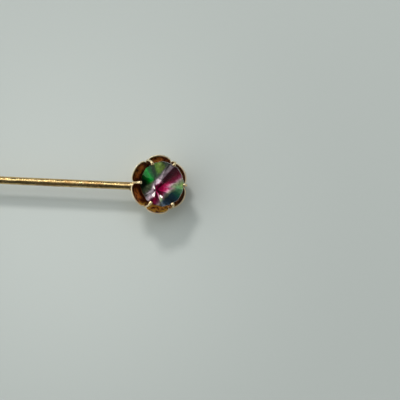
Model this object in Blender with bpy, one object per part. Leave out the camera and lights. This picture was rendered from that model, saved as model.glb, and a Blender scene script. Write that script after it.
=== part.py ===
# Hat pin: a long gilt wire with a six-petal cup that holds a round faceted glass stone,
# and a point guard that slides on the other end. It lies on its side as it rests on a table:
# the wire runs along X with its point towards -X, and +Z is up.
# The origin is the middle of the footprint, on the table.

from math import cos, pi, radians, sin, sqrt

import bmesh
import bpy
from mathutils import Matrix, Vector

MM = 0.001

# ---- driving dimensions, in millimetres ------------------------------------------------

# pin wire
WIRE_R = 0.55
AXIS_Z = 2.45            # height of the wire's axis over the table
WIRE_SIDES = 24
POINT_X = -38.0          # the very tip
TAPER = 7.0              # length of the ground point
TIP_R = 0.05

# head: a local frame with its origin in the middle of the petals' rim and its Z along the cup's axis
HEAD_X = 34.9
HEAD_Y = 0.36            # the wire meets the cup a little off its middle
HEAD_TILT = radians(14.5)  # the cup's axis leans towards +X
PETALS = 6
PETAL_R = 4.12           # rim radius at the middle of a petal
VALLEY_R = 3.52          # rim radius between two petals
VALLEY_DIP = 0.55        # how far the rim dips between two petals
FOOT_R = 1.60            # radius of the cup's flat foot
CUP_DEPTH = 3.08
HEAD_Z = CUP_DEPTH * cos(HEAD_TILT) + FOOT_R * sin(HEAD_TILT)  # the foot's edge is on the table
CUP_WALL = 0.22
CUP_SIDES = 96           # a whole number of steps in each petal

# stone
STONE_R = 3.10
STONE_FLAT = 0.955       # radius of the girdle at the middle of a side, as a share of STONE_R
STONE_SIDES = 8
STONE_TURN = radians(3.0)
GIRDLE_Z = 1.63          # height of the girdle's middle over the rim
GIRDLE_T = 0.14
CROWN_H = 0.95
PAVILION_H = 2.45
FOIL_GAP = 0.02
FOIL_T = 0.05
FOIL_SHARE = 0.97        # the foil stops just short of the girdle

# prongs
PRONG_R = 0.17
PRONG_SIDES = 10
PRONG_FOOT_Z = -0.60
PRONG_TIP_R = 2.80       # distance of the tip's centre from the cup's axis
FIT = 0.03               # clearance between two soldered or seated pieces

# solder fillet around the wire's end, and where wire and fillet end before they are trimmed
FILLET_LEN = 1.20
FILLET_R = 0.88
FILLET_EDGE = 0.04       # thickness of its feathered edge
FILLET_START_X = HEAD_X - 4.15
INSIDE_WALL_X = HEAD_X - 2.20

# point guard
GUARD_R = 2.45           # the same as AXIS_Z, so that the guard touches the table
GUARD_MOUTH_X = -27.0
GUARD_LEN = 12.5
GUARD_WALL = 0.30
GUARD_ROUND = 0.80
GUARD_SIDES = 48
BORE_R = WIRE_R + 0.03
COLLAR_T = 1.10
COLLAR_LIP_T = 0.50
SLEEVE_LEN = 6.5


# ---- helpers ---------------------------------------------------------------------------

def material(name, colour, metallic, roughness, alpha=1.0):
    mat = bpy.data.materials.new(name)
    mat.use_nodes = True
    shader = mat.node_tree.nodes["Principled BSDF"]
    shader.inputs["Base Color"].default_value = (*colour, 1.0)
    shader.inputs["Metallic"].default_value = metallic
    shader.inputs["Roughness"].default_value = roughness
    shader.inputs["Alpha"].default_value = alpha
    return mat


def finish(bm, name, mat, matrix, smooth=radians(30.0)):
    """The bmesh, in millimetres in its own frame, becomes a named object placed by the matrix."""
    bmesh.ops.recalc_face_normals(bm, faces=bm.faces)
    bmesh.ops.scale(bm, vec=(MM, MM, MM), verts=bm.verts)
    mesh = bpy.data.meshes.new(name)
    bm.to_mesh(mesh)
    bm.free()
    mesh.materials.append(mat)
    mesh.shade_smooth()
    mesh.set_sharp_from_angle(angle=smooth)
    obj = bpy.data.objects.new(name, mesh)
    bpy.context.scene.collection.objects.link(obj)
    place = matrix.copy()
    place.translation = place.translation * MM
    obj.matrix_world = place
    return obj


def skin(bm, rings, closed=False):
    """Quads between successive rings of points, with a flat cap on each open end.
    A ring of one point closes the skin to a tip."""
    loops = [[bm.verts.new(p) for p in ring] for ring in rings]
    pairs = list(zip(loops, loops[1:]))
    if closed:
        pairs.append((loops[-1], loops[0]))
    for low, high in pairs:
        count = max(len(low), len(high))
        for i in range(count):
            j = (i + 1) % count
            if len(low) == 1:
                bm.faces.new((low[0], high[j], high[i]))
            elif len(high) == 1:
                bm.faces.new((low[i], low[j], high[0]))
            else:
                bm.faces.new((low[i], low[j], high[j], high[i]))
    if not closed:
        for loop in (loops[0], loops[-1]):
            if len(loop) > 2:
                bm.faces.new(loop)


def turned(profile, sides):
    """Rings of a turned shape along X: each (x, radius) of the profile is one circle."""
    rings = []
    for x, r in profile:
        if r == 0:
            rings.append([(x, 0, 0)])
        else:
            turns = [2 * pi * i / sides for i in range(sides)]
            rings.append([(x, r * cos(a), r * sin(a)) for a in turns])
    return rings


# ---- the head --------------------------------------------------------------------------

def lobe(angle, petal, valley):
    """Radius at an angle of an outline of PETALS circular arcs: petal in the middle of an arc,
    valley where two arcs meet. Valleys lie at angle 0 and every sixth of a turn from it."""
    step = 2 * pi / PETALS
    off = (angle % step) - step / 2
    sagitta = petal - valley * cos(step / 2)
    half = valley * sin(step / 2)
    arc = (half * half + sagitta * sagitta) / (2 * sagitta)
    centre = petal - arc
    return centre * cos(off) + sqrt(max(arc * arc - (centre * sin(off)) ** 2, 0.0))


def wall_radii(depth):
    """Outer petal and valley radius of the cup at a depth under its rim: a cone that is
    lobed at the rim, round at the foot, and flares a little at the lip."""
    t = min(max(depth / CUP_DEPTH, 0.0), 1.0)
    flare = (1 - t) ** 1.15
    petal = FOOT_R + (PETAL_R - FOOT_R) * flare
    valley = FOOT_R + (VALLEY_R - FOOT_R) * (1 - t) ** 0.95
    return petal, valley


def cup_ring(depth, inset):
    """One ring of the cup's wall, inset from the outside by a wall thickness."""
    petal, valley = wall_radii(depth)
    points = []
    for i in range(CUP_SIDES):
        angle = 2 * pi * i / CUP_SIDES
        r = lobe(angle, petal, valley) - inset
        rise = (lobe(angle, PETAL_R, VALLEY_R) - VALLEY_R) / (PETAL_R - VALLEY_R)
        dip = VALLEY_DIP * (1 - rise) * max(1 - depth / CUP_DEPTH, 0.0) ** 2
        points.append((r * cos(angle), r * sin(angle), -depth - dip))
    return points


def cup_rings():
    """The cup's skin from the middle of its foot, up the outside, over the lip, down inside."""
    depths = [CUP_DEPTH * k for k in (1.0, 0.86, 0.7, 0.54, 0.38, 0.24, 0.12, 0.03)]
    outer = [cup_ring(d, 0.0) for d in depths]
    lip = [cup_ring(0.0, CUP_WALL * k) for k in (0.3, 0.7)]
    inner = [cup_ring(min(d, CUP_DEPTH - CUP_WALL), CUP_WALL) for d in reversed(depths)]
    return outer + lip + inner


def head_matrix():
    return Matrix.Translation((HEAD_X, HEAD_Y, HEAD_Z)) @ Matrix.Rotation(HEAD_TILT, 4, "Y")


def make_cup(gilt):
    bm = bmesh.new()
    skin(bm, cup_rings())
    return finish(bm, "petal_cup", gilt, head_matrix(), radians(40.0))


def make_envelope():
    """The outside of the cup grown by the solder clearance, as a solid that trims the wire
    and the fillet to the cup's wall. It is a cutter and not a part of the pin."""
    bm = bmesh.new()
    depths = [CUP_DEPTH * k for k in (1.02, 0.86, 0.7, 0.54, 0.38, 0.24, 0.12, 0.03)]
    rings = [cup_ring(d, -FIT) for d in depths]
    rings.append([(x, y, STONE_R) for x, y, _ in rings[-1]])
    skin(bm, rings)
    cutter = finish(bm, "cup_envelope", bpy.data.materials.new("cutter"), head_matrix())
    cutter.hide_render = True
    cutter.display_type = "WIRE"
    return cutter


def girdle(z, share=1.0):
    """Points of the stone's slightly rounded eight-sided outline, at a height."""
    points = []
    for i in range(2 * STONE_SIDES):
        angle = STONE_TURN + pi * i / STONE_SIDES
        r = STONE_R * share * (STONE_FLAT if i % 2 else 1.0)
        points.append((r * cos(angle), r * sin(angle), z))
    return points


def make_stone(glass):
    """A pointed crown and a pointed pavilion of flat facets on either side of a thin girdle."""
    low, high = GIRDLE_Z - GIRDLE_T / 2, GIRDLE_Z + GIRDLE_T / 2
    bm = bmesh.new()
    skin(bm, [[(0, 0, low - PAVILION_H)], girdle(low), girdle(high), [(0, 0, high + CROWN_H)]])
    return finish(bm, "stone", glass, head_matrix(), radians(1.0))


def make_foil(foil):
    """A thin pointed shell that follows the pavilion's facets just under them."""
    low = GIRDLE_Z - GIRDLE_T / 2
    slope = PAVILION_H / STONE_R
    edge = low - (1 - FOIL_SHARE) * STONE_R * slope
    top = [(x, y, edge - FOIL_GAP) for x, y, _ in girdle(0, FOIL_SHARE)]
    bottom = [(x, y, edge - FOIL_GAP - FOIL_T) for x, y, _ in girdle(0, FOIL_SHARE)]
    tip = low - PAVILION_H
    bm = bmesh.new()
    skin(bm, [[(0, 0, tip - FOIL_GAP)], top, bottom, [(0, 0, tip - FOIL_GAP - FOIL_T)]])
    return finish(bm, "foil_backing", foil, head_matrix(), radians(1.0))


def prong_path():
    """Centre line of a prong in the plane through the cup's axis: (radius, height).
    It stands in the valley outside the cup, rises past the girdle and folds over the crown."""
    crown = GIRDLE_Z + GIRDLE_T / 2
    clear = PRONG_R + FIT
    foot_wall = wall_radii(-PRONG_FOOT_Z)[1]
    over = crown + (STONE_R - PRONG_TIP_R) * CROWN_H / STONE_R + clear + 0.02
    return [(foot_wall + clear + 0.05, PRONG_FOOT_Z - 0.1),
            (VALLEY_R + clear - 0.02, -0.25),
            (VALLEY_R + clear + 0.03, 0.35),
            (3.60, crown - 0.75),
            (3.54, crown - 0.25),
            (3.42, crown + 0.10),
            (3.22, crown + 0.27),
            (3.00, over + 0.01),
            (PRONG_TIP_R, over)]


def make_prong(index, gilt):
    """A round wire swept along the prong's path, with a domed tip."""
    path = [Vector((r, 0, z)) for r, z in prong_path()]
    rings = []
    for k, point in enumerate(path):
        ahead = path[min(k + 1, len(path) - 1)] - path[max(k - 1, 0)]
        ahead.normalize()
        side = Vector((0, 1, 0))
        up = ahead.cross(side)
        radius = PRONG_R
        rings.append([point + side * radius * cos(2 * pi * i / PRONG_SIDES)
                      + up * radius * sin(2 * pi * i / PRONG_SIDES) for i in range(PRONG_SIDES)])
    last, ahead = path[-1], (path[-1] - path[-2]).normalized()
    side, up = Vector((0, 1, 0)), ahead.cross(Vector((0, 1, 0)))
    for share in (0.5, 0.85):
        centre = last + ahead * PRONG_R * share
        radius = PRONG_R * sqrt(1 - share * share)
        rings.append([centre + side * radius * cos(2 * pi * i / PRONG_SIDES)
                      + up * radius * sin(2 * pi * i / PRONG_SIDES) for i in range(PRONG_SIDES)])
    bm = bmesh.new()
    skin(bm, rings)
    place = head_matrix() @ Matrix.Rotation(2 * pi * index / PETALS, 4, "Z")
    return finish(bm, f"prong_{index + 1}", gilt, place, radians(50.0))


# ---- the wire and its solder -------------------------------------------------------------

def trim(obj, cutter):
    cut = obj.modifiers.new("trim to the cup", "BOOLEAN")
    cut.operation = "DIFFERENCE"
    cut.solver = "EXACT"
    cut.object = cutter
    return obj


def make_stem(gilt, cutter):
    """A round wire ground to a slender point, cut to the cup's wall at its head end."""
    profile = [(POINT_X, TIP_R)]
    for share in (0.25, 0.5, 0.75, 1.0):
        profile.append((POINT_X + TAPER * share, TIP_R + (WIRE_R - TIP_R) * sin(share * pi / 2) ** 0.8))
    profile.append((INSIDE_WALL_X, WIRE_R))
    bm = bmesh.new()
    skin(bm, turned(profile, WIRE_SIDES))
    return trim(finish(bm, "pin_stem", gilt, Matrix.Translation((0, 0, AXIS_Z))), cutter)


def make_fillet(solder, cutter):
    """A flared ring around the wire's end, trimmed to the cup's wall."""
    inner = WIRE_R + FIT / 2
    start, end = FILLET_START_X, INSIDE_WALL_X
    outside = []
    for k in range(7):
        share = k / 6
        rise = 1 - sqrt(1 - share * share)
        outside.append((start + FILLET_LEN * share, inner + FILLET_EDGE + (FILLET_R - inner) * rise))
    profile = outside + [(end, FILLET_R + FILLET_EDGE), (end, inner), (start, inner)]
    bm = bmesh.new()
    skin(bm, turned(profile, WIRE_SIDES), closed=True)
    return trim(finish(bm, "solder_joint", solder, Matrix.Translation((0, 0, AXIS_Z))), cutter)


# ---- the point guard -----------------------------------------------------------------------

def make_guard(gilt, rubber):
    """A barrel closed at one end, a grip sleeve inside it and a ring in its mouth.
    All three turn about the wire's axis and have their origins on it, at the mouth."""
    place = Matrix.Translation((GUARD_MOUTH_X, 0, AXIS_Z))
    inside = GUARD_R - GUARD_WALL
    back = -GUARD_LEN

    corner = [(back + GUARD_ROUND * (1 - sin(pi / 2 * k / 5)),
               GUARD_R - GUARD_ROUND * (1 - cos(pi / 2 * k / 5))) for k in range(5, -1, -1)]
    outside = [(back, 0)] + corner + [(-COLLAR_LIP_T - FIT, GUARD_R)]
    hollow = [(-COLLAR_LIP_T - FIT, inside), (back + GUARD_WALL + 0.3, inside), (back + GUARD_WALL + 0.3, 0)]
    bm = bmesh.new()
    skin(bm, turned(outside + hollow, GUARD_SIDES))
    shell = finish(bm, "guard_shell", gilt, place)

    lip = 0.15
    collar = [(-COLLAR_T, BORE_R), (0, BORE_R), (0, GUARD_R - lip), (-lip, GUARD_R),
              (-COLLAR_LIP_T, GUARD_R), (-COLLAR_LIP_T, inside - FIT), (-COLLAR_T, inside - FIT)]
    bm = bmesh.new()
    skin(bm, turned(collar, GUARD_SIDES), closed=True)
    ring = finish(bm, "guard_collar", gilt, place)

    near = -COLLAR_T - FIT
    far = near - SLEEVE_LEN
    sleeve = [(far, BORE_R), (near, BORE_R), (near, inside - FIT), (far, inside - FIT)]
    bm = bmesh.new()
    skin(bm, turned(sleeve, GUARD_SIDES), closed=True)
    grip = finish(bm, "guard_sleeve", rubber, place)
    return shell, ring, grip


# ---- the whole pin ---------------------------------------------------------------------------

def centre_on_origin(objects):
    """Moves everything so that the middle of the footprint lies on the origin."""
    bpy.context.view_layer.update()
    graph = bpy.context.evaluated_depsgraph_get()
    reach = []
    for obj in objects:
        shaped = obj.evaluated_get(graph)
        reach += [shaped.matrix_world @ v.co for v in shaped.data.vertices]
    middle_x = (min(p.x for p in reach) + max(p.x for p in reach)) / 2
    middle_y = (min(p.y for p in reach) + max(p.y for p in reach)) / 2
    for obj in objects:
        obj.location.x -= middle_x
        obj.location.y -= middle_y


def main():
    for obj in list(bpy.data.objects):
        bpy.data.objects.remove(obj, do_unlink=True)

    gilt = material("gilt brass", (0.83, 0.62, 0.30), 1.0, 0.25)
    solder = material("solder", (0.70, 0.60, 0.42), 1.0, 0.40)
    glass = material("iris glass", (0.45, 0.20, 0.35), 0.0, 0.05)
    foil = material("mirror foil", (0.85, 0.80, 0.72), 1.0, 0.15)
    rubber = material("grip rubber", (0.05, 0.05, 0.05), 0.0, 0.80)

    cutter = make_envelope()
    parts = [make_cup(gilt), make_stone(glass), make_foil(foil)]
    parts += [make_prong(i, gilt) for i in range(PETALS)]
    parts += [make_stem(gilt, cutter), make_fillet(solder, cutter)]
    parts += make_guard(gilt, rubber)
    cutter.parent = parts[0]
    cutter.matrix_parent_inverse = parts[0].matrix_world.inverted()
    centre_on_origin(parts)


main()
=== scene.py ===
# %% [markdown]
# # A hat pin with a petal setting and an iris glass stone
#
# The pin is a long gilt wire. On one end sits a small stamped cup with six petals, and six
# wire prongs fold over a round glass stone. A point guard covers the other end.
# The working solids are already made: this script loads them as a fixed frame, and gives
# each one a finer surface and a real finish. Loading comes first, because every place and
# size below is read from that frame.

# %% Load the frame
import bpy
import numpy as np
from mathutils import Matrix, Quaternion, Vector


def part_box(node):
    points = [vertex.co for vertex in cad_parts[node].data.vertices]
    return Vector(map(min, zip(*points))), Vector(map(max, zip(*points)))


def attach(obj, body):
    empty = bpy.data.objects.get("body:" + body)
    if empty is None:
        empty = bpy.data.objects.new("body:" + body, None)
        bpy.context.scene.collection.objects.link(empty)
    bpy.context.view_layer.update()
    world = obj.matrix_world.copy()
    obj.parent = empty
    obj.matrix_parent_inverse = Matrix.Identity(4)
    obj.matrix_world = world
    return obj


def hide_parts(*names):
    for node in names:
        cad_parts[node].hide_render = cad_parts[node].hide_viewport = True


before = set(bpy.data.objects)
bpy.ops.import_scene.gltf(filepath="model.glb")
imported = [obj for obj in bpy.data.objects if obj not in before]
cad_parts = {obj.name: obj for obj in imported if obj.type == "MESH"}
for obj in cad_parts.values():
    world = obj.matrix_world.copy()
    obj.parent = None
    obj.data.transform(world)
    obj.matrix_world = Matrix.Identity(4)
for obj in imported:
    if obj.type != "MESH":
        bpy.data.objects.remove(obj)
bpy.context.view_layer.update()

MM = 0.001

# %% [markdown]
# ## Surfaces from arrays
#
# Nearly every piece here is a profile carried round a circle or along a path, so one helper
# turns a grid of points into a mesh. The grid has rings in its first direction and the points
# of a ring in its second. Rings always close on themselves. The two end rings are closed by a
# fan to their middle, or joined to each other when the profile is a loop.

# %% Grid to mesh
def grid_mesh(name, grid, loop=False, node=None, body="pin"):
    """Joins point (i, j) of the grid to its neighbours (i + 1, j) and (i, j + 1) with one
    four-sided face each, where j wraps round, and i wraps round too if loop is set.
    The grid is in millimetres in the frame's axes."""
    rings, sides = grid.shape[:2]
    points = grid.reshape(-1, 3)
    i = np.arange(rings if loop else rings - 1)[:, None]
    j = np.arange(sides)[None, :]
    here, beside = i * sides + j, i * sides + (j + 1) % sides
    above, across = (i + 1) % rings * sides + j, (i + 1) % rings * sides + (j + 1) % sides
    faces = np.stack([here, beside, across, above], axis=-1).reshape(-1, 4).tolist()
    if not loop:
        points = np.vstack([points, grid[0].mean(axis=0), grid[-1].mean(axis=0)])
        first, last = rings * sides, rings * sides + 1
        k, k1 = j[0], (j[0] + 1) % sides
        faces += np.stack([k1, k, np.full(sides, first)], axis=-1).tolist()
        faces += np.stack([k + (rings - 1) * sides, k1 + (rings - 1) * sides,
                           np.full(sides, last)], axis=-1).tolist()
    return make_piece(name, points, faces, True, node, body)


def make_piece(name, points, faces, smooth, node, body):
    """Puts points in millimetres and faces into a mesh, turns every face outwards by the sign
    of the mesh's volume, and lets the piece ride on a body in place of a CAD node."""
    mesh = bpy.data.meshes.new(name)
    mesh.from_pydata((np.asarray(points) * MM).tolist(), [], faces)
    corners = [np.asarray(points)[f] for f in faces[:: max(1, len(faces) // 4000)]]
    middle = np.asarray(points).mean(axis=0)
    volume = sum(np.dot(c[0] - middle, np.cross(c[1] - middle, c[2] - middle)) for c in corners)
    if volume < 0:
        mesh.flip_normals()
    mesh.polygons.foreach_set("use_smooth", np.full(len(faces), smooth))
    if smooth:
        mesh.set_sharp_from_angle(angle=np.radians(38))
    piece = bpy.data.objects.new(name, mesh)
    bpy.context.scene.collection.objects.link(piece)
    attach(piece, body)
    if node:
        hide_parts(node)
    print(f"{name}: {len(points)} points, {len(faces)} faces")
    return piece


def along_x(xs, radii, sides, centre):
    """Circles of the given radii round the line through centre along X, one at each x."""
    turn = np.linspace(0, 2 * np.pi, sides, endpoint=False)
    xs, radii = np.asarray(xs, float)[:, None], np.asarray(radii, float)[:, None]
    return np.stack([xs + 0 * turn, centre[1] + radii * np.sin(turn),
                     centre[2] + radii * np.cos(turn)], axis=-1)


# %% [markdown]
# ## Shader maths as expressions
#
# A finish is a formula over the surface, so it reads best as a formula. `Value` wraps one
# shader socket: adding, multiplying and so on make the Math nodes. `Finish` holds one material
# and has a single method that adds any other node.

# %% Values and finishes
def plug(tree, target, value):
    """Links a value to a socket, or sets the socket if the value is plain."""
    if isinstance(value, Value):
        tree.links.new(value.socket, target)
    else:
        target.default_value = value


class Value:
    """A shader socket that can be used in an expression."""

    def __init__(self, socket):
        self.socket = socket

    def maths(self, operation, first, second=None, clamp=False):
        node = self.socket.id_data.nodes.new("ShaderNodeMath")
        node.operation, node.use_clamp = operation, clamp
        plug(self.socket.id_data, node.inputs[0], first)
        if second is not None:
            plug(self.socket.id_data, node.inputs[1], second)
        return Value(node.outputs[0])

    def __add__(self, other): return self.maths("ADD", self, other)
    def __radd__(self, other): return self.maths("ADD", other, self)
    def __sub__(self, other): return self.maths("SUBTRACT", self, other)
    def __rsub__(self, other): return self.maths("SUBTRACT", other, self)
    def __mul__(self, other): return self.maths("MULTIPLY", self, other)
    def __rmul__(self, other): return self.maths("MULTIPLY", other, self)
    def __truediv__(self, other): return self.maths("DIVIDE", self, other)
    def __pow__(self, other): return self.maths("POWER", self, other)
    def size(self): return self.maths("ABSOLUTE", self)
    def least(self, other): return self.maths("MINIMUM", self, other)
    def clamp(self): return self.maths("ADD", self, 0.0, clamp=True)
    def angle_of(self, other): return self.maths("ARCTAN2", self, other)


class Nodes:
    """A node tree with one method that adds any node to it."""

    def __init__(self, tree):
        self.tree = tree

    def add(self, kind, settings=None, inputs=None, output=0):
        """Adds a node: its settings first, then the values or links of its sockets."""
        node = self.tree.nodes.new(kind)
        for key, value in (settings or {}).items():
            if key == "stops":
                while len(node.color_ramp.elements) > 1:
                    node.color_ramp.elements.remove(node.color_ramp.elements[-1])
                for place, (at, colour) in enumerate(value):
                    stops = node.color_ramp.elements
                    stop = stops[0] if place == 0 else stops.new(at)
                    stop.position, stop.color = at, (*colour, 1.0)
            elif key == "interpolation":
                node.color_ramp.interpolation = value
            else:
                setattr(node, key, value)
        for key, value in (inputs or {}).items():
            plug(self.tree, node.inputs[key], value)
        return Value(node.outputs[output])

    def place(self):
        """The point on the piece, in metres in the frame's axes."""
        return self.add("ShaderNodeTexCoord", output="Object")

    def axes(self, vector):
        """The three parts of a vector."""
        split = self.tree.nodes.new("ShaderNodeSeparateXYZ")
        plug(self.tree, split.inputs[0], vector)
        return [Value(split.outputs[k]) for k in range(3)]

    def noise(self, scale, detail=3.0, rough=0.5, stretch=None):
        """Cloudy values from 0 to 1; scale is in patches per metre, and so is stretch, which has
        one value for each axis."""
        vector = self.place()
        if stretch:
            vector = self.add("ShaderNodeMapping", inputs={"Vector": vector, "Scale": stretch})
        return self.add("ShaderNodeTexNoise", inputs={"Vector": vector, "Scale": scale,
                                                      "Detail": detail, "Roughness": rough})

    def ramp(self, value, stops, interpolation="LINEAR"):
        """Colours from stops of (place, colour)."""
        return self.add("ShaderNodeValToRGB", {"stops": stops, "interpolation": interpolation},
                        {0: value})

    def mix(self, a, b, factor, blend="MIX"):
        """Mixes two colours."""
        return self.add("ShaderNodeMix", {"data_type": "RGBA", "blend_type": blend},
                        {0: factor, 6: a, 7: b}, 2)

    def bump(self, height, strength, distance):
        """A normal from a height; distance is the height's full range, in metres."""
        return self.add("ShaderNodeBump",
                        inputs={"Height": height, "Strength": strength, "Distance": distance})


class Finish(Nodes):
    """One material, with its main shader already in place."""

    def __init__(self, name):
        self.material = bpy.data.materials.new(name)
        self.material.use_nodes = True
        super().__init__(self.material.node_tree)
        self.main = self.tree.nodes["Principled BSDF"]

    def set(self, **sockets):
        """Sets or links sockets of the main shader, with _ for a space in their names."""
        for key, value in sockets.items():
            plug(self.tree, self.main.inputs[key.replace("_", " ")], value)
        return self


# %% [markdown]
# ## Gilt
#
# Costume pins are brass with a thin wash of gold. The wash is never even: it is redder and
# darker where polish and fingers don't reach, paler on edges, and it carries fine drawing
# lines along a wire. Colour, roughness and bump therefore all come from the same noises.

# %% The gilt finishes
WORN_PALE, TARNISH_BROWN = (0.93, 0.80, 0.56, 1), (0.26, 0.13, 0.045, 1)


def gilt(name, bright, deep, lines=None, mottle=900.0, roughness=0.18, dents=0.06, tarnish=None):
    """Gold wash: deep and bright colours mixed by cloudy patches, fine lines along `lines`,
    and long brown patches of tarnish stretched by `tarnish`."""
    f = Finish(name)
    patches = f.noise(mottle, 4.0, 0.6)
    fine = f.noise(6000.0, 3.0, 0.6)
    mask = (patches * 1.5 - 0.25 + fine * 0.25 - 0.12).clamp()
    colour = f.mix((*deep, 1), (*bright, 1), mask)
    wear = ((f.noise(2600.0, 2.0, 0.5) - 0.62) * 6.0).clamp()
    colour = f.mix(colour, WORN_PALE, wear * 0.35)
    rough = roughness + patches * 0.10 + fine * 0.06
    if tarnish:
        long = f.noise(1.0, 2.0, 0.5, stretch=tarnish)
        short = f.noise(1.0, 2.0, 0.6, stretch=(900, 1600, 1600))
        brown = ((long * 0.8 + short * 0.6 - 0.62) * 5.0).clamp()
        colour = f.mix(colour, TARNISH_BROWN, brown * 0.75)
        rough = rough + brown * 0.20
    height = patches * 0.6 + fine * 0.2
    if lines:
        height = height + f.noise(1.0, 2.0, 0.5, stretch=lines) * 0.5
    normal = f.bump(height, 0.5, dents * MM)
    f.set(Base_Color=colour, Metallic=1.0, Roughness=rough, Normal=normal)
    return f.material


wire_gilt = gilt("wire gilt", (0.88, 0.68, 0.34), (0.60, 0.38, 0.13), lines=(1500, 5000, 5000),
                 mottle=700.0, roughness=0.08, dents=0.11, tarnish=(90, 700, 700))
prong_gilt = gilt("prong gilt", (0.95, 0.80, 0.52), (0.72, 0.50, 0.24),
                  mottle=2500.0, roughness=0.16)
print("gilt finishes:", wire_gilt.name, "and", prong_gilt.name)

# %% [markdown]
# ## The pin wire
#
# A round wire, drawn and then straightened by hand, so it is very slightly wavy. It is ground
# to a long point, and its other end is cut to the slope of the cup that it is soldered to.
# One surface of turned rings does it: the radius follows a sine from the tip to the full
# thickness, and the last ring is sheared to the slope.

# %% Wire
wire_low, wire_high = (np.array(corner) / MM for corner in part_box("pin_stem"))
axis = np.array([0.0, (wire_low[1] + wire_high[1]) / 2, (wire_low[2] + wire_high[2]) / 2])
wire_r = (wire_high[2] - wire_low[2]) / 2
TAPER, TIP_R, WALL_SLOPE = 7.0, 0.05, 0.418


def wire_surface(sides=40):
    """Rings along X. Radius = tip + (full - tip) * sin(quarter turn of the taper) ** 0.8, with
    a ripple of a few thousandths. The last rings lean back by WALL_SLOPE per unit of height."""
    share = np.linspace(0, 1, 26) ** 1.3
    point = wire_low[0] + TAPER * share
    body = np.linspace(point[-1], wire_high[0] - 1.2, 500)[1:]
    xs = np.concatenate([point, body, wire_high[0] - np.array([0.8, 0.4, 0.0])])
    grow = np.clip((xs - wire_low[0]) / TAPER, 0, 1)
    radii = TIP_R + (wire_r - TIP_R) * np.sin(grow * np.pi / 2) ** 0.8
    radii = radii * (1 - 0.006 * (1 + np.sin(xs * 2.1 + 0.6 * np.sin(xs * 0.83))))
    rings = along_x(xs, radii, sides, axis)
    near_end = np.clip((xs - (wire_high[0] - 1.2)) / 1.2, 0, 1)[:, None]
    rings[..., 0] -= WALL_SLOPE * (rings[..., 2] - wire_low[2]) * near_end
    return rings


wire = grid_mesh("pin_wire", wire_surface(), node="pin_stem")
wire.data.materials.append(wire_gilt)
print("wire diameter mm:", round(2 * wire_r, 3))

# %% [markdown]
# ## Where the head is
#
# The cup, prongs and stone are round about one leaning axis, so they are computed upright,
# with the middle of the petals' rim at zero, and then leant over and moved. The lean is
# the design's 14.5 degrees. The move comes from the cup's box in the frame, which fits the cup
# with plain arcs for petals. A pressed petal is fuller than an arc, and that is added after.

# %% The cup's surface, upright
PETAL_R, VALLEY_R, FOOT_R = 4.12, 3.52, 1.60
DEPTH, WALL, DIP, PETALS = 3.08, 0.22, 0.55, 6
RINGS, LIP_RINGS = 30, 7            # rings on each face of the wall, and over its lip
LEAN = np.radians(14.5)


def lobed(angle, petal, valley):
    """An outline of six circular arcs. For an arc whose middle is at radius petal and whose
    ends are at radius valley: radius = c cos(a) + sqrt(arc^2 - c^2 sin(a)^2)."""
    step = 2 * np.pi / PETALS
    off = angle % step - step / 2
    sagitta, half = petal - valley * np.cos(step / 2), valley * np.sin(step / 2)
    arc = (half ** 2 + sagitta ** 2) / (2 * sagitta)
    c = petal - arc
    return c * np.cos(off) + np.sqrt(np.maximum(arc ** 2 - (c * np.sin(off)) ** 2, 0))


def fullness(angle):
    """How much a pressed petal swells past its arc, in mm, for the share q from its middle to
    the crease: 0.08 + 0.30 q^2 - 0.56 q^8, which fills its shoulders and deepens the crease."""
    step = 2 * np.pi / PETALS
    q = np.abs(angle % step - step / 2) / (step / 2)
    return 0.08 + 0.30 * q ** 2 - 0.56 * q ** 8


def cup_points(depth, inset, angle, swell=1.0):
    """A point of the cup's wall. The share t of the depth runs from 0 at the rim to 1 at the
    foot. The petals' radius shrinks by 0.85 (1 - t) + 0.15 (1 - t)^8, so they flare at the lip,
    and the rim dips between petals. Inset moves the wall inwards, less so near the thin lip."""
    t = np.clip(depth / DEPTH, 0, 1)
    petal = FOOT_R + (PETAL_R - FOOT_R) * (0.85 * (1 - t) + 0.15 * (1 - t) ** 8)
    valley = FOOT_R + (VALLEY_R - FOOT_R) * (1 - t) ** 0.95
    radius = lobed(angle, petal, valley) - inset * (0.45 + 0.55 * np.clip(depth / 0.8, 0, 1))
    radius = radius + swell * fullness(angle) * (1 - t) ** 1.5
    rise = (lobed(angle, PETAL_R, VALLEY_R) - VALLEY_R) / (PETAL_R - VALLEY_R)
    z = -depth - DIP * (1 - rise) * (1 - t) ** 2
    return np.stack([radius * np.cos(angle), radius * np.sin(angle), z + 0 * radius], axis=-1)


def cup_surface(sides=360, swell=1.0):
    """Outside from foot to rim, a rounded lip, and the inside back down to the floor."""
    angle = np.linspace(0, 2 * np.pi, sides, endpoint=False)[None, :]
    down = np.linspace(0, 1, RINGS)[::-1] ** 1.4
    outer_depth = (0.02 + (DEPTH - 0.02) * down)[:, None]
    lip = np.linspace(0, np.pi, LIP_RINGS + 2)[1:-1][:, None]
    inner_depth = (0.02 + (DEPTH - WALL - 0.02) * down[::-1])[:, None]
    outside = cup_points(outer_depth, 0.0, angle, swell)
    over = cup_points(0.02 + 0 * lip, WALL / 2 * (1 - np.cos(lip)), angle, swell)
    over[..., 2] += 0.45 * WALL / 2 * np.sin(lip)
    inside = cup_points(inner_depth, WALL, angle, swell)
    return np.concatenate([outside, over, inside])


def lean(points):
    """Turns upright head points about Y by the lean."""
    x, y, z = points[..., 0], points[..., 1], points[..., 2]
    return np.stack([x * np.cos(LEAN) + z * np.sin(LEAN), y,
                     z * np.cos(LEAN) - x * np.sin(LEAN)], axis=-1)


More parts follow.
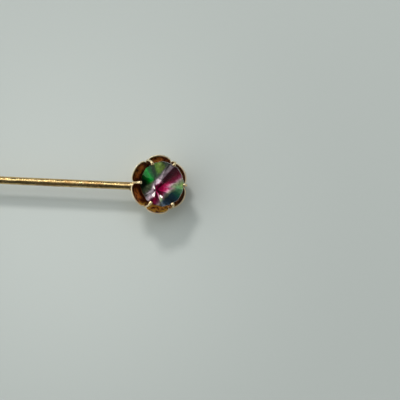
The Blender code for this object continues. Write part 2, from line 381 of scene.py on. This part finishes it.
plain_cup = lean(cup_surface(swell=0.0))
cup_low, cup_high = (np.array(corner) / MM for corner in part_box("petal_cup"))
rim_middle = np.array([cup_high[0] - plain_cup[..., 0].max(), (cup_low[1] + cup_high[1]) / 2,
                       cup_low[2] - plain_cup[..., 2].min()])
print("middle of the rim, mm:", rim_middle.round(3))


def head(points):
    """Upright head points to their place on the pin."""
    return lean(np.asarray(points, float)) + rim_middle


# %% [markdown]
# ## The petal cup
#
# The cup is stamped from thin sheet. Deep inside, its gilt is painted reddish brown: painted
# shade, since light only reaches it after several bounces, and the wash is thin there too. The
# middle of each petal gets a painted orange sheen. The depth under the rim is kept as an
# attribute on the mesh, so that the finish can follow it. The petal on the low y side gets
# patches of painted highlight, and the petals on the high x side get painted shade.

# %% Cup
upright = cup_surface()
cup = grid_mesh("flower_cup", head(upright), node="petal_cup")
inner = np.zeros(upright.shape[:2])
inner[RINGS + LIP_RINGS // 2:] = 1.0
depth_attr = cup.data.attributes.new("under_rim", "FLOAT", "POINT")
inner_attr = cup.data.attributes.new("inner_face", "FLOAT", "POINT")
petal_attr = cup.data.attributes.new("petal_middle", "FLOAT", "POINT")
turn = np.linspace(0, 2 * np.pi, upright.shape[1], endpoint=False)
middle = np.cos(3 * (turn - np.pi / 6)) ** 2 + 0 * inner
ends = np.array([1.0, 1.0])
down = np.linspace(0, 1, RINGS) ** 1.4
share = np.concatenate([down[::-1], np.zeros(LIP_RINGS), down])[:, None] + 0 * inner
depth_attr.data.foreach_set("value", np.concatenate([share.ravel(), ends]))
inner_attr.data.foreach_set("value", np.concatenate([inner.ravel(), [0.0, 1.0]]))
petal_attr.data.foreach_set("value", np.concatenate([middle.ravel(), 0 * ends]))
print("points on the inside of the cup:", int(inner.sum()))

# %% The cup's gilt
# Painted light and shade in the cup: the cream at the rim is a painted highlight, the near black
# inside is painted shade, the orange is a painted sheen, the bright gold patch is a painted
# highlight and the dark brown is painted shade.
CREAM_RIM, NEARLY_BLACK = (1.0, 0.86, 0.62, 1), (0.07, 0.008, 0.002, 1)
ORANGE_SHEEN = (0.95, 0.29, 0.05, 1)
PAINTED_HIGHLIGHT, SHADE_DARK = (0.92, 0.54, 0.08, 1), (0.05, 0.02, 0.005, 1)
DULL_OUTSIDE, BRIGHT_OUTSIDE = (0.50, 0.32, 0.12, 1), (0.86, 0.66, 0.34, 1)


def cup_finish():
    """Gilt with a painted cream highlight along the rim and red-brown inside. Inside, each petal's
    edges are painted nearly black as shade, and its middle gets a mottled orange painted sheen.
    The petals low in y get patches of painted highlight, and those high in x are painted dark as
    shade."""
    f = Finish("cup gilt")
    under = f.add("ShaderNodeAttribute", {"attribute_name": "under_rim"}, output="Fac")
    inside = f.add("ShaderNodeAttribute", {"attribute_name": "inner_face"}, output="Fac")
    middle = f.add("ShaderNodeAttribute", {"attribute_name": "petal_middle"}, output="Fac")
    patches, fine = f.noise(2000.0, 4.0, 0.65), f.noise(5200.0, 3.0, 0.6)
    outside_colour = f.mix(DULL_OUTSIDE, BRIGHT_OUTSIDE, (patches * 1.4 - 0.2).clamp())
    belt = (1.0 - (under - 0.22).size() * 4.5).clamp()
    # Painted shade and sheen: each petal's inside is painted nearly black at its edges and a mottled
    # orange sheen in its middle.
    sheen = (middle * belt * (patches * 6.5 - 2.2) + fine * 1.6 - 0.85).clamp()
    warm = f.mix(NEARLY_BLACK, ORANGE_SHEEN, sheen)
    x, y, _ = f.axes(f.place())
    # Painted highlight: bright gold patches on the petals low in y.
    bright = ((float(rim_middle[1] - 2.5) * MM - y) * 2500.0).clamp() * (patches * 6.0 - 2.3).clamp()
    # Painted shade: the petals high in x are painted dark brown.
    shaded = ((x - float(rim_middle[0] + 1.6) * MM) * 700.0).clamp()
    warm = f.mix(warm, PAINTED_HIGHLIGHT, bright)
    warm = f.mix(warm, SHADE_DARK, shaded * 0.75)
    colour = f.mix(outside_colour, warm, inside * (under * 60.0).clamp())
    # Painted highlight: a cream line along the lip.
    rim = ((0.022 - under) * 90.0).clamp()
    colour = f.mix(colour, CREAM_RIM, rim * 0.9)
    rough = 0.20 + patches * 0.14 + fine * 0.08 + rim * 0.15
    normal = f.bump(patches * 0.6 + fine * 0.5, 0.9, 0.09 * MM)
    f.set(Base_Color=colour, Metallic=1.0 - inside * 0.35, Roughness=rough, Normal=normal)
    return f.material


cup.data.materials.append(cup_finish())

# %% [markdown]
# ## The prongs
#
# Six short wires stand in the creases between the petals and are pushed over the stone with a
# burnisher, which leaves their tips flattened and the brightest gilt on the whole pin. Each is
# a tube carried along one smooth path in the plane through the axis.

# %% Prongs
PRONG_R = 0.17
STONE_R, GIRDLE_Z, GIRDLE_T, CROWN_H = 3.10, 1.63, 0.14, 0.95


def prong_surface(turn, sides=18, rings=46):
    """A tube round a path of radius and height. The path is a smooth blend (Catmull-Rom)
    through its knots, the last of which lie on the crown. The tube widens sideways and thins
    towards the tip, then rounds off."""
    over = GIRDLE_Z + GIRDLE_T / 2 + 0.30 * CROWN_H / STONE_R + PRONG_R + 0.02
    knots = np.array([(3.40, -1.00), (3.34, -0.70), (3.68, -0.25), (3.74, 0.35), (3.63, 0.95),
                      (3.56, 1.45), (3.46, 1.78), (3.27, 1.94), (3.10, over - 0.06),
                      (2.97, over - 0.09), (2.84, over - 0.12)])
    t = np.linspace(1, len(knots) - 2.001, rings)
    k, u = t.astype(int), (t % 1)[:, None]
    a, b, c, d = knots[k - 1], knots[k], knots[k + 1], knots[np.minimum(k + 2, len(knots) - 1)]
    path = 0.5 * (2 * b + (c - a) * u + (2 * a - 5 * b + 4 * c - d) * u ** 2
                  + (3 * b - 3 * c + d - a) * u ** 3)
    ahead = np.gradient(path, axis=0)
    ahead /= np.linalg.norm(ahead, axis=1)[:, None]
    up = np.stack([-ahead[:, 1], ahead[:, 0]], axis=-1)
    share = np.linspace(0, 1, rings)
    tip = np.sqrt(np.clip(1 - (np.clip((share - 0.95) / 0.05, 0, 1)) ** 2, 0.02, 1))
    wide = PRONG_R * (1 + 0.35 * np.clip((share - 0.6) / 0.3, 0, 1)) * tip
    thin = PRONG_R * (1 - 0.25 * np.clip((share - 0.6) / 0.3, 0, 1)) * tip
    round_ = np.linspace(0, 2 * np.pi, sides, endpoint=False)[None, :]
    r = path[:, :1] + up[:, :1] * thin[:, None] * np.cos(round_)
    z = path[:, 1:] + up[:, 1:] * thin[:, None] * np.cos(round_)
    side = wide[:, None] * np.sin(round_)
    return np.stack([r * np.cos(turn) - side * np.sin(turn),
                     r * np.sin(turn) + side * np.cos(turn), z], axis=-1)


for number in range(PETALS):
    turned = prong_surface(2 * np.pi * number / PETALS)
    prong = grid_mesh(f"folded_prong_{number + 1}", head(turned), node=f"prong_{number + 1}")
    prong.data.materials.append(prong_gilt)

# %% [markdown]
# ## The stone's facets
#
# The stone is pressed glass: a low pointed crown and a deep pointed back, each of flat
# facets. Flat facets are what makes it sparkle, so this mesh stays flat shaded. Two fans of
# triangles and a narrow band round the girdle make the glass. Its radius is 0.09 mm more than
# the working solid's, so that it sits closer to the prongs. The same back, a hair inside the
# glass, is the foil, which is where the colour is.

# %% Stone and foil meshes
SIDES, STONE_TURN, FLAT, PAVILION_H = 8, np.radians(3.0), 0.975, 2.45
GLASS_R = 3.19
low_z, high_z = GIRDLE_Z - GIRDLE_T / 2, GIRDLE_Z + GIRDLE_T / 2
CULET = np.array([-0.25, -0.30])


def girdle(z, share=1.0):
    """A rounded octagon: sixteen points, every other one pulled in to FLAT."""
    k = np.arange(2 * SIDES)
    angle, r = STONE_TURN + np.pi * k / SIDES, GLASS_R * share * np.where(k % 2, FLAT, 1.0)
    return np.stack([r * np.cos(angle), r * np.sin(angle), z + 0 * r], axis=-1)


def fan(ring_start, tip, count):
    """Triangles from each side of a ring to one tip."""
    k = np.arange(count)
    return np.stack([ring_start + k, ring_start + (k + 1) % count, np.full(count, tip)],
                    axis=-1).tolist()


def band(low, high, count):
    """Four-sided faces between two rings."""
    k = np.arange(count)
    return np.stack([low + k, low + (k + 1) % count, high + (k + 1) % count, high + k],
                    axis=-1).tolist()


count = 2 * SIDES
culet_tip = np.array([[*CULET, low_z - PAVILION_H]])
glass_points = np.vstack([girdle(low_z), girdle(high_z), culet_tip, [[0, 0, high_z + CROWN_H]]])
stone_faces = fan(0, 2 * count, count) + band(0, count, count) + fan(count, 2 * count + 1, count)
stone = make_piece("iris_stone", head(glass_points), stone_faces, False, "stone", "pin")

FOIL_SHARE = 0.993                  # the foil's radius as a share of the glass's
inner_tip = np.array([[*CULET, low_z - PAVILION_H * 0.97]])
back_tip = np.array([[*CULET, low_z - PAVILION_H * 0.99]])
foil_points = np.vstack([girdle(high_z - 0.01, FOIL_SHARE), girdle(low_z, FOIL_SHARE),
                         inner_tip, back_tip])
foil = make_piece("stone_foil", head(foil_points), stone_faces, False, "foil_backing", "pin")

# %% [markdown]
# ## Iris glass
#
# Iris glass has bands of colour that run straight across the stone: green, clear, crimson,
# pale green and blue. The foil carries the bands. A cut stone breaks them up, because each
# facet bends the view by its own amount and mirrors its own patch of the room. So each facet
# of the back shifts the bands and gets its own painted brightness, a painted reflection, and the
# crown's facets, which meet at another point, have theirs. Painted glints and a painted sparkle
# lie on top. The foil returns more light than paint can, so part of its colour is painted light
# given as emission: the foil glows a little by itself. Clear glass lies over it.

# %% Coordinates on the stone
stone_middle = head(np.array([[0.0, 0.0, low_z]]))[0]
print("middle of the stone's girdle, mm:", stone_middle.round(3))
FAN = (-0.125, -0.305)              # where the back's facets meet, in stone radii


def across_stone(f):
    """Coordinates on the stone in stone radii: w across the bands and a along them, both bowed
    a little where the stone is deep, the distances from the fan's and the stone's middle, and
    the turns about each, 0 to 1."""
    x, y, z = f.axes(f.place())
    x, y, z = ((v - float(m) * MM) / (STONE_R * MM) for v, m in zip((x, y, z), stone_middle))
    u = x * float(np.cos(LEAN)) - z * float(np.sin(LEAN))
    du, dy = u - FAN[0], y - FAN[1]
    back_turn = dy.angle_of(du) / (2 * np.pi) + 0.5
    crown_turn = y.angle_of(u) / (2 * np.pi) + 0.5
    out_crown = (u * u + y * y) ** 0.5
    deep = (1.0 - out_crown).clamp()
    return ((u - y) * 0.7071 - deep * 0.19, (u + y) * 0.7071 - deep * 0.07,
            (du * du + dy * dy) ** 0.5, out_crown, back_turn, crown_turn)


# %% The foil's bands and facets
# Each band: where it lies, from -1 to 1, and its colour. The middle bands run across, and the
# greens and blues at the two sides change along their band.
MIDDLE_BANDS = [
    (-0.52, (0.03, 0.04, 0.02)), (-0.43, (0.06, 0.05, 0.05)), (-0.37, (0.24, 0.20, 0.22)),
    (-0.27, (0.28, 0.21, 0.24)), (-0.22, (0.06, 0.015, 0.03)),
    (-0.17, (0.025, 0.001, 0.005)), (0.00, (0.06, 0.000, 0.010)),
    (0.12, (0.13, 0.000, 0.017)), (0.24, (0.19, 0.006, 0.040)), (0.32, (0.24, 0.06, 0.12)),
    (0.39, (0.23, 0.17, 0.17)), (0.46, (0.11, 0.12, 0.07)), (0.56, (0.07, 0.10, 0.05)),
    (0.64, (0.02, 0.035, 0.02))]
GREEN_ALONG = [
    (-0.75, (0.002, 0.004, 0.001)), (-0.50, (0.000, 0.005, 0.001)),
    (-0.36, (0.000, 0.030, 0.002)), (-0.15, (0.000, 0.100, 0.010)),
    (0.05, (0.000, 0.045, 0.008)), (0.20, (0.006, 0.035, 0.006)),
    (0.34, (0.05, 0.12, 0.004)), (0.55, (0.08, 0.13, 0.01)), (0.72, (0.02, 0.03, 0.02))]
BLUE_ALONG = [
    (-0.80, (0.10, 0.09, 0.06)), (-0.62, (0.06, 0.08, 0.10)),
    (-0.48, (0.005, 0.013, 0.024)), (-0.20, (0.000, 0.004, 0.009)),
    (0.10, (0.000, 0.006, 0.009)), (0.28, (0.001, 0.03, 0.013)),
    (0.46, (0.04, 0.12, 0.05)), (0.66, (0.07, 0.11, 0.03)), (0.85, (0.03, 0.04, 0.01))]
# Each facet of the back: the angle where it starts, how far it shifts the bands, its
# brightness as a painted reflection.
BACK_FACETS = [
    (-180, 0.00, 0.90), (-160, -0.08, 0.60), (-145, -0.14, 1.20), (-115, 0.10, 0.65),
    (-102, 0.10, 0.25), (-75, 0.22, 1.60), (-57, -0.10, 0.35), (-25, -0.10, 0.35),
    (-10, -0.12, 1.50), (12, -0.02, 1.10), (34, 0.00, 0.40), (58, 0.00, 2.40),
    (92, 0.03, 0.60), (105, -0.06, 1.70), (135, -0.02, 1.20), (165, 0.00, 0.70)]
# Each facet of the crown: the angle where it starts and its brightness as a painted reflection.
CROWN_FACETS = [
    (-180, 0.5), (-165, 0.5), (-150, 0.6), (-135, 0.8), (-120, 0.35), (-104, 0.6),
    (-88, 1.0), (-70, 0.9), (-50, 1.3), (-30, 0.8), (-12, 1.4), (8, 0.7), (18, 0.40),
    (30, 0.30), (44, 0.42), (58, 0.40), (72, 0.95), (84, 0.8), (97, 1.1), (112, 0.5),
    (126, 1.0), (138, 1.8), (155, 1.0), (168, 0.5)]
# Each glint, a painted highlight: the angles it spans, how far out it is, and how long.
GLINTS = [
    (-134, -110, 0.22, 0.15), (-58, -47, 0.36, 0.08), (112, 136, 0.15, 0.10)]
print("bands:", len(MIDDLE_BANDS), "facets:", len(BACK_FACETS), "and", len(CROWN_FACETS))


def along(f, value, stops):
    """A ramp over values from -1 to 1."""
    return f.ramp(value * 0.5 + 0.5, [(0.5 + 0.5 * at, colour) for at, colour in stops])


def by_angle(f, turn, facets):
    """One flat value for each facet, from -4 to 4."""
    grey = f.ramp(turn, [(0.5 + degrees / 360, (0.5 + v / 8,) * 3) for degrees, v in facets],
                  "CONSTANT")
    return (grey - 0.5) * 8.0


# %% The foil and the glass
GLINT_WHITE = (1.0, 0.90, 0.86, 1)


def foil_finish():
    """Bands over w, with the greens where w is low and the blues where it is high. The bands are
    shifted facet by facet, and made brighter or darker as painted reflections: by the back's
    facets near the fan's middle, and by the crown's further out. A painted sparkle and painted
    glints lie on top, and the colour also glows as emission, which is painted light."""
    f = Finish("iris foil")
    w, a, out_back, out_crown, back_turn, crown_turn = across_stone(f)
    wobble = (f.noise(1100.0, 3.0, 0.6) - 0.5) * 0.10
    shift = by_angle(f, back_turn, [(angle, move) for angle, move, _ in BACK_FACETS])
    near = by_angle(f, back_turn, [(angle, light) for angle, _, light in BACK_FACETS])
    far = by_angle(f, crown_turn, CROWN_FACETS)
    skew = ((-0.22 - a) * 0.8).clamp().least(0.24)
    zigzag = (far - 0.8) * ((out_crown - 0.4) * 6.0).clamp() * 0.07
    colour = along(f, w - skew + shift + zigzag + wobble, MIDDLE_BANDS)
    green_side = ((wobble - w - zigzag - 0.41) * 9.0).clamp()
    blue_side = ((w + wobble + zigzag - 0.55) * 9.0).clamp()
    colour = f.mix(colour, along(f, a + wobble, GREEN_ALONG), green_side)
    colour = f.mix(colour, along(f, a - wobble, BLUE_ALONG), blue_side)
    # Painted reflections: each facet's painted brightness and a painted sparkle multiply the colour.
    outer = ((out_back - 0.54) * 9.0).clamp()
    sparkle = f.noise(3000.0, 3.0, 0.6) * 2.6 - 0.3
    colour = f.mix(colour, (near + (far - near) * outer) * sparkle, 1.0, "MULTIPLY")
    # Painted glints: white highlights painted on the foil.
    spot = None
    for start, end, out, long in GLINTS:
        span = by_angle(f, back_turn, [(-180, 0), (start, 1), (end, 0)])
        here = (span * (1.0 - (out_back - out).size() / long)).clamp()
        spot = here if spot is None else spot + here
    colour = f.mix(colour, GLINT_WHITE, (spot * 2.0).clamp())
    # The foil glows with its own colour as emission: painted light.
    f.set(Base_Color=colour, Emission_Color=colour, Emission_Strength=0.8, Roughness=0.5,
          Specular_IOR_Level=0.0)
    return f.material


def glass_finish():
    """Clear glass. Its low index keeps the mirrored room from hiding the foil."""
    f = Finish("iris glass")
    f.set(Base_Color=(0.97, 0.97, 0.98, 1), Roughness=0.01, IOR=1.30, Transmission_Weight=1.0)
    return f.material


foil.data.materials.append(foil_finish())
stone.data.materials.append(glass_finish())
print("foil nodes:", len(foil.data.materials[0].node_tree.nodes))

# %% [markdown]
# ## The solder
#
# Where the wire meets the cup, solder has run into a small flared collar and was gilt over with
# the rest. It is greyer and duller than the wire, and slightly lumpy.

# %% Solder
solder_low, solder_high = (np.array(corner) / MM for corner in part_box("solder_joint"))


def solder_surface(sides=48):
    """A flared ring: radius = inner + (outer - inner) * (1 - sqrt(1 - s^2)) from its thin edge
    to the cup, with its last rings leaning to the cup's slope, closed by the bore."""
    s = np.linspace(0, 1, 18)
    inner, outer = wire_r + 0.015, 0.92
    start, end = solder_low[0], solder_high[0] - 0.42
    flare = inner + 0.04 + (outer - inner - 0.04) * (1 - np.sqrt(1 - np.minimum(s, 0.995) ** 2))
    xs = np.concatenate([start + (end - start) * s, [end, start]])
    radii = np.concatenate([flare, [inner, inner]])
    rings = along_x(xs, radii, sides, axis)
    lump = 1 + 0.05 * np.sin(3 * np.linspace(0, 2 * np.pi, sides, endpoint=False) + 0.8)
    rings[1:18, :, 1:] = axis[1:] + (rings[1:18, :, 1:] - axis[1:]) * lump[None, :, None]
    rings[1:19, :, 0] -= (WALL_SLOPE * (rings[1:19, :, 2] - axis[2])
                          * np.concatenate([s[1:], [1.0]])[:, None])
    return rings


solder = grid_mesh("solder_collar", solder_surface(), loop=True, node="solder_joint")
solder.data.materials.append(gilt("solder gilt", (0.60, 0.46, 0.26), (0.34, 0.24, 0.12),
                                  mottle=1800.0, roughness=0.30, dents=0.10))

# %% [markdown]
# ## The point guard
#
# The guard keeps the point from pricking, and the pin from coming out. A turned gilt barrel
# has a ring in its mouth and a rubber sleeve inside that grips the wire. Grooves near the
# mouth give the fingers a hold. All three are turned profiles round the wire's axis.

# %% Guard
shell_low, shell_high = (np.array(corner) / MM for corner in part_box("guard_shell"))
collar_high = np.array(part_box("guard_collar")[1]) / MM
sleeve_low, sleeve_high = (np.array(corner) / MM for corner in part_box("guard_sleeve"))
guard_r = (shell_high[2] - shell_low[2]) / 2
GUARD_WALL, GUARD_ROUND = 0.30, 0.80
GROOVES, GROOVE_DEPTH, GROOVE_HALF_WIDTH, GROOVE_STEP, FIRST_GROOVE = 5, 0.09, 0.10, 0.42, 1.1


def shell_profile():
    """x and radius from the middle of the closed end, round its corner, along the side with
    its shallow grooves, in at the mouth and back down the hollow. A groove at x = g takes
    depth * exp(-((x - g) / half width) ** 2) off the radius."""
    corner = np.linspace(0, np.pi / 2, 14)
    cx = shell_low[0] + GUARD_ROUND * (1 - np.sin(corner))
    cr = guard_r - GUARD_ROUND * (1 - np.cos(corner))
    flat_x = np.full(6, shell_low[0])
    flat_r = np.linspace(0.02, cr[-1] * 0.97, 6)
    side = np.linspace(cx[0], shell_high[0] - 0.06, 220)[1:]
    groove = np.zeros_like(side)
    mouth = shell_high[0]
    for k in range(GROOVES):
        at = mouth - FIRST_GROOVE - GROOVE_STEP * k
        groove += GROOVE_DEPTH * np.exp(-((side - at) / GROOVE_HALF_WIDTH) ** 2)
    inside_r = guard_r - GUARD_WALL
    floor = shell_low[0] + GUARD_WALL + 0.3
    xs = np.concatenate([flat_x, cx[::-1], side,
                         [mouth - 0.02, mouth, mouth, mouth - 1, floor, floor]])
    radii = np.concatenate([flat_r, cr[::-1], guard_r - groove,
                            [guard_r - 0.02, guard_r - 0.06, inside_r, inside_r, inside_r, 0.02]])
    return xs, radii


def ring_profile(low, high, inner, outer, lip=0.12):
    """A loop round a flat ring's section with its outer corners eased."""
    ease = np.linspace(0, np.pi / 2, 6)
    rise, fall = lip * (1 - np.sin(ease)), lip * (1 - np.cos(ease))
    xs = np.concatenate([[low, high], high - fall, low + rise])
    radii = np.concatenate([[inner, inner], outer - rise, outer - fall])
    return xs, radii


guard_gilt = gilt("guard gilt", (0.85, 0.68, 0.38), (0.60, 0.41, 0.17), lines=(7000, 600, 600),
                  mottle=500.0, roughness=0.20, dents=0.03)
shell = grid_mesh("guard_barrel", along_x(*shell_profile(), 96, axis), node="guard_shell",
                  body="guard")
shell.data.materials.append(guard_gilt)

# %% The guard's ring and sleeve
CLEARANCE = 0.03
bore = wire_r + CLEARANCE
collar_rings = along_x(*ring_profile(collar_high[0] - 0.5, collar_high[0], bore, guard_r), 96, axis)
collar = grid_mesh("guard_ring", collar_rings, loop=True, node="guard_collar", body="guard")
collar.data.materials.append(prong_gilt)
sleeve_r = guard_r - GUARD_WALL - CLEARANCE
sleeve_rings = along_x(*ring_profile(sleeve_low[0], sleeve_high[0], bore, sleeve_r), 64, axis)
sleeve = grid_mesh("grip_sleeve", sleeve_rings, loop=True, node="guard_sleeve", body="guard")


def rubber_finish():
    """Dull black rubber with fine bloom."""
    f = Finish("sleeve rubber")
    bloom = f.noise(1500.0, 3.0, 0.6)
    colour = f.mix((0.012, 0.012, 0.013, 1), (0.06, 0.06, 0.062, 1), bloom)
    f.set(Base_Color=colour, Roughness=bloom * 0.2 + 0.6, Normal=f.bump(bloom, 0.4, 0.05 * MM))
    return f.material


sleeve.data.materials.append(rubber_finish())

# %% [markdown]
# ## The table
#
# A pale grey-green table top. It is matt, with a faint grain, and a painted pool of light makes
# it a little paler around the head end of the wire.

# %% Table
HALF_TABLE = 2.0                    # metres
CARD_DARK, CARD_LIGHT = (0.490, 0.517, 0.499, 1), (0.508, 0.534, 0.517, 1)
# The paler green is a painted pool of light beside the wire.
LIGHT_POOL_PALE = (0.600, 0.628, 0.606, 1)
table_mesh = bpy.data.meshes.new("table_top")
table_corners = [(-1, -1, 0), (1, -1, 0), (1, 1, 0), (-1, 1, 0)]
table_mesh.from_pydata([[HALF_TABLE * v for v in corner] for corner in table_corners], [],
                       [(0, 1, 2, 3)])
table = bpy.data.objects.new("table_top", table_mesh)
bpy.context.scene.collection.objects.link(table)


def table_finish():
    """Matt pale card: two close greens in patches and grain, and a painted pool of light beside the
    wire.
    """
    f = Finish("pale card")
    patches, grain = f.noise(25.0, 2.0, 0.5), f.noise(2500.0, 2.0, 0.5)
    x, y, _ = f.axes(f.place())
    dx, dy = x - float(rim_middle[0] - 15) * MM, y - float(rim_middle[1] - 7) * MM
    # Painted pool of light: the card is paler round a point beside the wire.
    pale = f.ramp((dx * dx + dy * dy) ** 0.5 * 22.0, [(0.0, (1, 1, 1)), (1.0, (0, 0, 0))], "EASE")
    colour = f.mix(CARD_DARK, CARD_LIGHT, patches * 0.6 + grain * 0.4)
    colour = f.mix(colour, LIGHT_POOL_PALE, pale)
    f.set(Base_Color=colour, Roughness=0.85, Normal=f.bump(grain, 0.15, 0.05 * MM))
    return f.material


table.data.materials.append(table_finish())
print("table, metres across:", 2 * HALF_TABLE)

# %% [markdown]
# ## The light
#
# Two lights, both behind the pin and a little to the left, and both aimed at the head. The
# small one is a window, forty degrees up: it gives the shadow its shape and draws the highlight
# on the wire. The large one is the glow above it, at sixty degrees, which softens both. The
# room itself gives the rest.

# %% Lights
def soft_light(name, place_mm, aim_mm, size_mm, watts, colour):
    """A rectangular light of the given width and height, turned to face a point."""
    light = bpy.data.lights.new(name, "AREA")
    light.shape, light.size, light.size_y = "RECTANGLE", size_mm[0] * MM, size_mm[1] * MM
    light.energy, light.color = watts, colour
    lamp = bpy.data.objects.new(name, light)
    bpy.context.scene.collection.objects.link(lamp)
    lamp.location = Vector(place_mm) * MM
    lamp.rotation_euler = (Vector(aim_mm) - Vector(place_mm)).to_track_quat("-Z", "Y").to_euler()
    print(f"{name}: {watts} W, {(Vector(aim_mm) - Vector(place_mm)).length:.0f} mm away")
    return lamp


head_mm = Vector(rim_middle)
soft_light("window", head_mm + Vector((-150, 365, 326)), head_mm, (110, 60), 1.05,
           (1.0, 0.99, 0.97))
soft_light("window glow", head_mm + Vector((-60, 225, 430)), head_mm, (620, 290), 0.85,
           (0.97, 1.0, 0.99))


ROOM_TINT, HORIZON = (0.93, 1.0, 0.98, 1), 0.55


def room_light():
    """The room: dim overhead and in front, pale at the sides, most of all on the left.
    Brightness = 0.05 + x^2 (1.5 - 1.1 x) for a direction (x, y, z), and HORIZON low down
    behind."""
    world = bpy.data.worlds.new("room")
    bpy.context.scene.world = world
    world.use_nodes = True
    room = Nodes(world.node_tree)
    x, y, z = room.axes(room.add("ShaderNodeTexCoord", output="Generated"))
    low = (1.6 - z.size() * 9.0).clamp() * (y * 3.0 + 1.6).clamp()
    light = (x * x * (1.5 - x * 1.1) + 0.05) * (1.0 - low) + low * HORIZON
    background = world.node_tree.nodes["Background"]
    background.inputs["Color"].default_value = ROOM_TINT
    plug(room.tree, background.inputs["Strength"], light)


room_light()
bpy.context.scene.view_settings.view_transform = "Standard"

# %% [markdown]
# ## The camera
#
# The camera looks almost straight down at the head, so that the wire comes in from the left
# edge and slopes down by two and a half degrees, and the point and its guard stay outside the
# picture. It frames 56 mm of table.

# %% Camera
VIEW_MM, DISTANCE_MM, HEIGHT_DEG, ROLL_DEG = 56.1, 420.0, 87.0, 2.6
HEAD_IN_FRAME = (0.398, 0.539)     # the rim's middle, as shares of the frame from left and bottom
camera = bpy.data.objects.new("camera", bpy.data.cameras.new("camera"))
bpy.context.scene.collection.objects.link(camera)
bpy.context.scene.camera = camera
camera.data.clip_start, camera.data.clip_end = 0.01, 10.0
camera.data.angle = 2 * np.arctan(VIEW_MM / 2 / DISTANCE_MM)
height = np.radians(HEIGHT_DEG)
back = Vector((0, -np.cos(height), np.sin(height)))
level = (-back).to_track_quat("-Z", "Y")
camera.rotation_mode = "QUATERNION"
camera.rotation_quaternion = Quaternion(back, np.radians(ROLL_DEG)) @ level
right = camera.rotation_quaternion @ Vector((1, 0, 0))
up = camera.rotation_quaternion @ Vector((0, 1, 0))
middle_mm = head_mm + (right * (0.5 - HEAD_IN_FRAME[0]) + up * (0.5 - HEAD_IN_FRAME[1])) * VIEW_MM
camera.location = (middle_mm + back * DISTANCE_MM) * MM
print("camera, mm:", [round(v / MM, 1) for v in camera.location])
